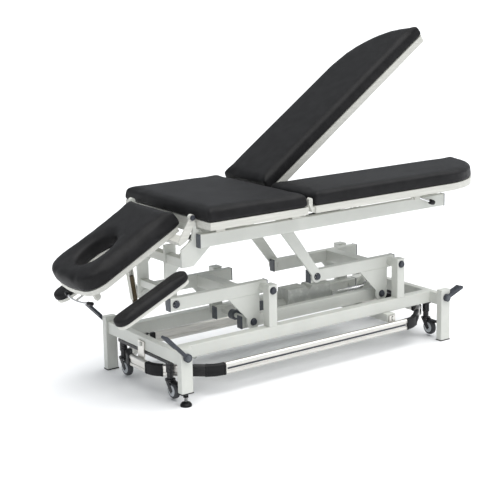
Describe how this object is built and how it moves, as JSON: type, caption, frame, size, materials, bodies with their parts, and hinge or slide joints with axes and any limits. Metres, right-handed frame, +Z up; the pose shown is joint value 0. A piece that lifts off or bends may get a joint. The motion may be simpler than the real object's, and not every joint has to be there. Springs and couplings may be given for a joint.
{
  "type": "treatment couch",
  "caption": "Height-adjustable treatment couch with a tube base, parallelogram lift, drooping head section with face hole, arm rests, split leg sections and foot rail.",
  "frame": {"origin": "middle of the couch's bounding box, on the floor", "axes": "+X from the head end to the foot end, +Y to the far side of the picture, +Z up"},
  "size_m": [1.965, 0.62, 1.3187],
  "materials": {
    "frame_paint": "satin",
    "deck_board": "painted board",
    "grey_plastic": "satin",
    "vinyl": "soft sheen",
    "tyre": "matt",
    "zinc_steel": "zinc plated",
    "rail_aluminium": "anodised",
    "dark_plastic": "matt",
    "chrome": "polished",
    "black_metal": "satin"
  },
  "bodies": {
    "base": {"end_frame_head": "frame_paint", "end_frame_foot": "frame_paint", "base_side_near": "frame_paint", "base_side_far": "frame_paint", "low_cross_tube": "frame_paint"},
    "foot_rail": {"rail_side_near": "rail_aluminium", "rail_side_far": "rail_aluminium", "rail_turn_head": "rail_aluminium", "rail_turn_foot": "rail_aluminium", "rail_elbows_head": "dark_plastic", "rail_elbows_foot": "dark_plastic"},
    "screw_foot": {"screw_foot": "dark_plastic"},
    "pedals_head": {"pedals_head": "dark_plastic"},
    "pedals_foot": {"pedals_foot": "dark_plastic"},
    "carrier_head": {"castor_carrier_head": "zinc_steel"},
    "carrier_foot": {"castor_carrier_foot": "zinc_steel"},
    "lift_arm_1": {"lift_arm_1_sides": "frame_paint", "lift_arm_1_cross": "frame_paint"},
    "lift_arm_2": {"lift_arm_2_sides": "frame_paint", "lift_arm_2_cross": "frame_paint"},
    "tie_bars": {"tie_bars": "frame_paint"},
    "drive": {"drive_motor": "dark_plastic", "drive_housing": "grey_plastic"},
    "drive_rod": {"drive_rod": "chrome"},
    "upper_frame": {"upper_beam_near": "frame_paint", "upper_beam_far": "frame_paint", "upper_cross_tubes": "frame_paint", "uprights": "frame_paint", "upright_ties": "frame_paint", "foot_strut_near": "frame_paint", "foot_strut_far": "frame_paint", "middle_deck": "deck_board", "middle_pad": "vinyl"},
    "head_section": {"head_deck": "deck_board", "head_pad": "vinyl"},
    "head_release": {"head_release": "chrome"},
    "head_spring_tube": {"head_spring_tube": "black_metal"},
    "head_spring_rod": {"head_spring_rod": "chrome"},
    "arm_rest_near": {"arm_rest_near": "frame_paint", "arm_rest_pad_near": "vinyl"},
    "arm_rest_far": {"arm_rest_far": "frame_paint", "arm_rest_pad_far": "vinyl"},
    "leg_near": {"leg_deck_near": "deck_board", "leg_pad_near": "vinyl"},
    "leg_lever_near": {"leg_lever_near": "chrome"},
    "leg_strut_tube_near": {"leg_strut_tube_near": "black_metal"},
    "leg_strut_rod_near": {"leg_strut_rod_near": "chrome"},
    "fork_head_near": {"castor_fork_head_near": "zinc_steel"},
    "wheel_head_near": {"castor_wheel_head_near": "tyre"},
    "fork_foot_near": {"castor_fork_foot_near": "zinc_steel"},
    "wheel_foot_near": {"castor_wheel_foot_near": "tyre"},
    "leg_far": {"leg_deck_far": "deck_board", "leg_pad_far": "vinyl"},
    "leg_lever_far": {"leg_lever_far": "chrome"},
    "leg_strut_tube_far": {"leg_strut_tube_far": "black_metal"},
    "leg_strut_rod_far": {"leg_strut_rod_far": "chrome"},
    "fork_head_far": {"castor_fork_head_far": "zinc_steel"},
    "wheel_head_far": {"castor_wheel_head_far": "tyre"},
    "fork_foot_far": {"castor_fork_foot_far": "zinc_steel"},
    "wheel_foot_far": {"castor_wheel_foot_far": "tyre"}
  },
  "joints": [
    {"name": "lift", "type": "hinge", "parent": "base", "child": "lift_arm_1", "pos_m": [-0.17863, 0, 0.348], "axis": [0, 1, 0], "range_deg": [-25, 38]},
    {"name": "lift_foot_arm", "type": "hinge", "parent": "base", "child": "lift_arm_2", "pos_m": [0.49136, 0, 0.348], "axis": [0, 1, 0], "range_deg": [-25, 38]},
    {"name": "tie_pivot", "type": "hinge", "parent": "lift_arm_1", "child": "tie_bars", "pos_m": [-0.22063, 0, 0.213], "axis": [0, 1, 0], "range_deg": [-38, 25]},
    {"name": "frame_pivot", "type": "hinge", "parent": "lift_arm_1", "child": "upper_frame", "pos_m": [-0.57864, 0, 0.348], "axis": [0, 1, 0], "range_deg": [-38, 25]},
    {"name": "drive_pivot", "type": "hinge", "parent": "lift_arm_1", "child": "drive", "pos_m": [-0.22063, 0, 0.213], "axis": [0, 1, 0], "range_deg": [-35.66, 23.46]},
    {"name": "drive_stroke", "type": "slide", "parent": "drive", "child": "drive_rod", "axis": [1, 0, 0], "range_m": [-0.05456, 0.08293]},
    {"name": "rail_press", "type": "slide", "parent": "base", "child": "foot_rail", "axis": [0, 0, 1], "range_m": [-0.004, 0.004], "stiffness_N_per_m": 20000, "springref_m": 0.001},
    {"name": "screw_foot_turn", "type": "hinge", "parent": "base", "child": "screw_foot", "pos_m": [-0.63763, -0.278, 0.02], "axis": [0, 0, 1], "continuous": true},
    {"name": "pedal_head_turn", "type": "hinge", "parent": "base", "child": "pedals_head", "pos_m": [-0.63763, 0, 0.19], "axis": [0, 1, 0], "range_deg": [-40, 0]},
    {"name": "carrier_head_turn", "type": "hinge", "parent": "base", "child": "carrier_head", "pos_m": [-0.52763, 0, 0.1455], "axis": [0, 1, 0], "range_deg": [-5.5, 0]},
    {"name": "pedal_foot_turn", "type": "hinge", "parent": "base", "child": "pedals_foot", "pos_m": [0.67236, 0, 0.19], "axis": [0, 1, 0], "range_deg": [0, 22]},
    {"name": "carrier_foot_turn", "type": "hinge", "parent": "base", "child": "carrier_foot", "pos_m": [0.56237, 0, 0.1455], "axis": [0, 1, 0], "range_deg": [0, 5.5]},
    {"name": "fork_head_near_swivel", "type": "hinge", "parent": "carrier_head", "child": "fork_head_near", "pos_m": [-0.63763, -0.172, 0.11], "axis": [0, 0, 1], "continuous": true},
    {"name": "wheel_head_near_spin", "type": "hinge", "parent": "fork_head_near", "child": "wheel_head_near", "pos_m": [-0.63763, -0.197, 0.038], "axis": [1, 0, 0], "continuous": true},
    {"name": "fork_head_far_swivel", "type": "hinge", "parent": "carrier_head", "child": "fork_head_far", "pos_m": [-0.63763, 0.172, 0.11], "axis": [0, 0, 1], "continuous": true},
    {"name": "wheel_head_far_spin", "type": "hinge", "parent": "fork_head_far", "child": "wheel_head_far", "pos_m": [-0.63763, 0.147, 0.038], "axis": [1, 0, 0], "continuous": true},
    {"name": "fork_foot_near_swivel", "type": "hinge", "parent": "carrier_foot", "child": "fork_foot_near", "pos_m": [0.67236, -0.172, 0.11], "axis": [0, 0, 1], "continuous": true},
    {"name": "wheel_foot_near_spin", "type": "hinge", "parent": "fork_foot_near", "child": "wheel_foot_near", "pos_m": [0.67236, -0.197, 0.038], "axis": [1, 0, 0], "continuous": true},
    {"name": "fork_foot_far_swivel", "type": "hinge", "parent": "carrier_foot", "child": "fork_foot_far", "pos_m": [0.67236, 0.172, 0.11], "axis": [0, 0, 1], "continuous": true},
    {"name": "wheel_foot_far_spin", "type": "hinge", "parent": "fork_foot_far", "child": "wheel_foot_far", "pos_m": [0.67236, 0.147, 0.038], "axis": [1, 0, 0], "continuous": true},
    {"name": "head_tilt", "type": "hinge", "parent": "upper_frame", "child": "head_section", "pos_m": [-0.55063, 0, 0.69], "axis": [0, 1, 0], "range_deg": [0, 42]},
    {"name": "head_spring_pivot", "type": "hinge", "parent": "upper_frame", "child": "head_spring_tube", "pos_m": [-0.33264, 0, 0.556], "axis": [0, 1, 0], "range_deg": [-0.01, 6.52]},
    {"name": "head_spring_stroke", "type": "slide", "parent": "head_spring_tube", "child": "head_spring_rod", "axis": [-0.9981, 0, 0.0617], "range_m": [-0.00001, 0.08065]},
    {"name": "head_release_turn", "type": "hinge", "parent": "head_section", "child": "head_release", "pos_m": [-0.86397, 0, 0.4285], "axis": [0, 1, 0], "range_deg": [-2, 16], "stiffness_Nm_per_rad": 2, "springref_deg": 0.06},
    {"name": "arm_rest_near_height", "type": "slide", "parent": "head_section", "child": "arm_rest_near", "axis": [-0.1426, 0, 0.9898], "range_m": [-0.01, 0.015]},
    {"name": "arm_rest_far_height", "type": "slide", "parent": "head_section", "child": "arm_rest_far", "axis": [-0.1426, 0, 0.9898], "range_m": [-0.01, 0.015]},
    {"name": "leg_near_raise", "type": "hinge", "parent": "upper_frame", "child": "leg_near", "pos_m": [-0.05663, 0, 0.703], "axis": [0, -1, 0], "range_deg": [0, 55]},
    {"name": "leg_strut_near_pivot", "type": "hinge", "parent": "upper_frame", "child": "leg_strut_tube_near", "pos_m": [-0.01764, -0.193, 0.612], "axis": [0, -1, 0], "range_deg": [-0.01, 53.63]},
    {"name": "leg_strut_near_stroke", "type": "slide", "parent": "leg_strut_tube_near", "child": "leg_strut_rod_near", "axis": [0.9978, 0, 0.0665], "range_m": [-0.00001, 0.09158]},
    {"name": "leg_lever_near_turn", "type": "hinge", "parent": "leg_near", "child": "leg_lever_near", "pos_m": [0.51936, -0.262, 0.64], "axis": [0, 1, 0], "range_deg": [-12, 12]},
    {"name": "leg_far_raise", "type": "hinge", "parent": "upper_frame", "child": "leg_far", "pos_m": [-0.05663, 0, 0.703], "axis": [0, -1, 0], "range_deg": [-35, 20]},
    {"name": "leg_strut_far_pivot", "type": "hinge", "parent": "upper_frame", "child": "leg_strut_tube_far", "pos_m": [-0.01764, 0.193, 0.612], "axis": [0, -1, 0], "range_deg": [-33.44, 19.11]},
    {"name": "leg_strut_far_stroke", "type": "slide", "parent": "leg_strut_tube_far", "child": "leg_strut_rod_far", "axis": [0.7755, 0, 0.6314], "range_m": [-0.05776, 0.03301]},
    {"name": "leg_lever_far_turn", "type": "hinge", "parent": "leg_far", "child": "leg_lever_far", "pos_m": [0.45133, 0.262, 0.98177], "axis": [0, 1, 0], "range_deg": [-12, 12]}
  ],
  "couplings": [
    {"joint": "lift_foot_arm", "follows": "lift", "ratio": 1},
    {"joint": "tie_pivot", "follows": "lift", "ratio": -1},
    {"joint": "frame_pivot", "follows": "lift", "ratio": -1},
    {"joint": "drive_pivot", "follows": "lift", "ratio": -0.9382},
    {"joint": "drive_stroke", "follows": "lift", "m_per_rad": 0.12502},
    {"joint": "carrier_head_turn", "follows": "pedal_head_turn", "ratio": 0.1375},
    {"joint": "carrier_foot_turn", "follows": "pedal_foot_turn", "ratio": 0.25},
    {"joint": "head_spring_pivot", "follows": "head_tilt", "ratio": 0.155},
    {"joint": "head_spring_stroke", "follows": "head_tilt", "m_per_rad": 0.11001},
    {"joint": "leg_strut_near_pivot", "follows": "leg_near_raise", "ratio": 0.975},
    {"joint": "leg_strut_near_stroke", "follows": "leg_near_raise", "m_per_rad": 0.095397},
    {"joint": "leg_strut_far_pivot", "follows": "leg_far_raise", "ratio": 0.955},
    {"joint": "leg_strut_far_stroke", "follows": "leg_far_raise", "m_per_rad": 0.094538}
  ]
}
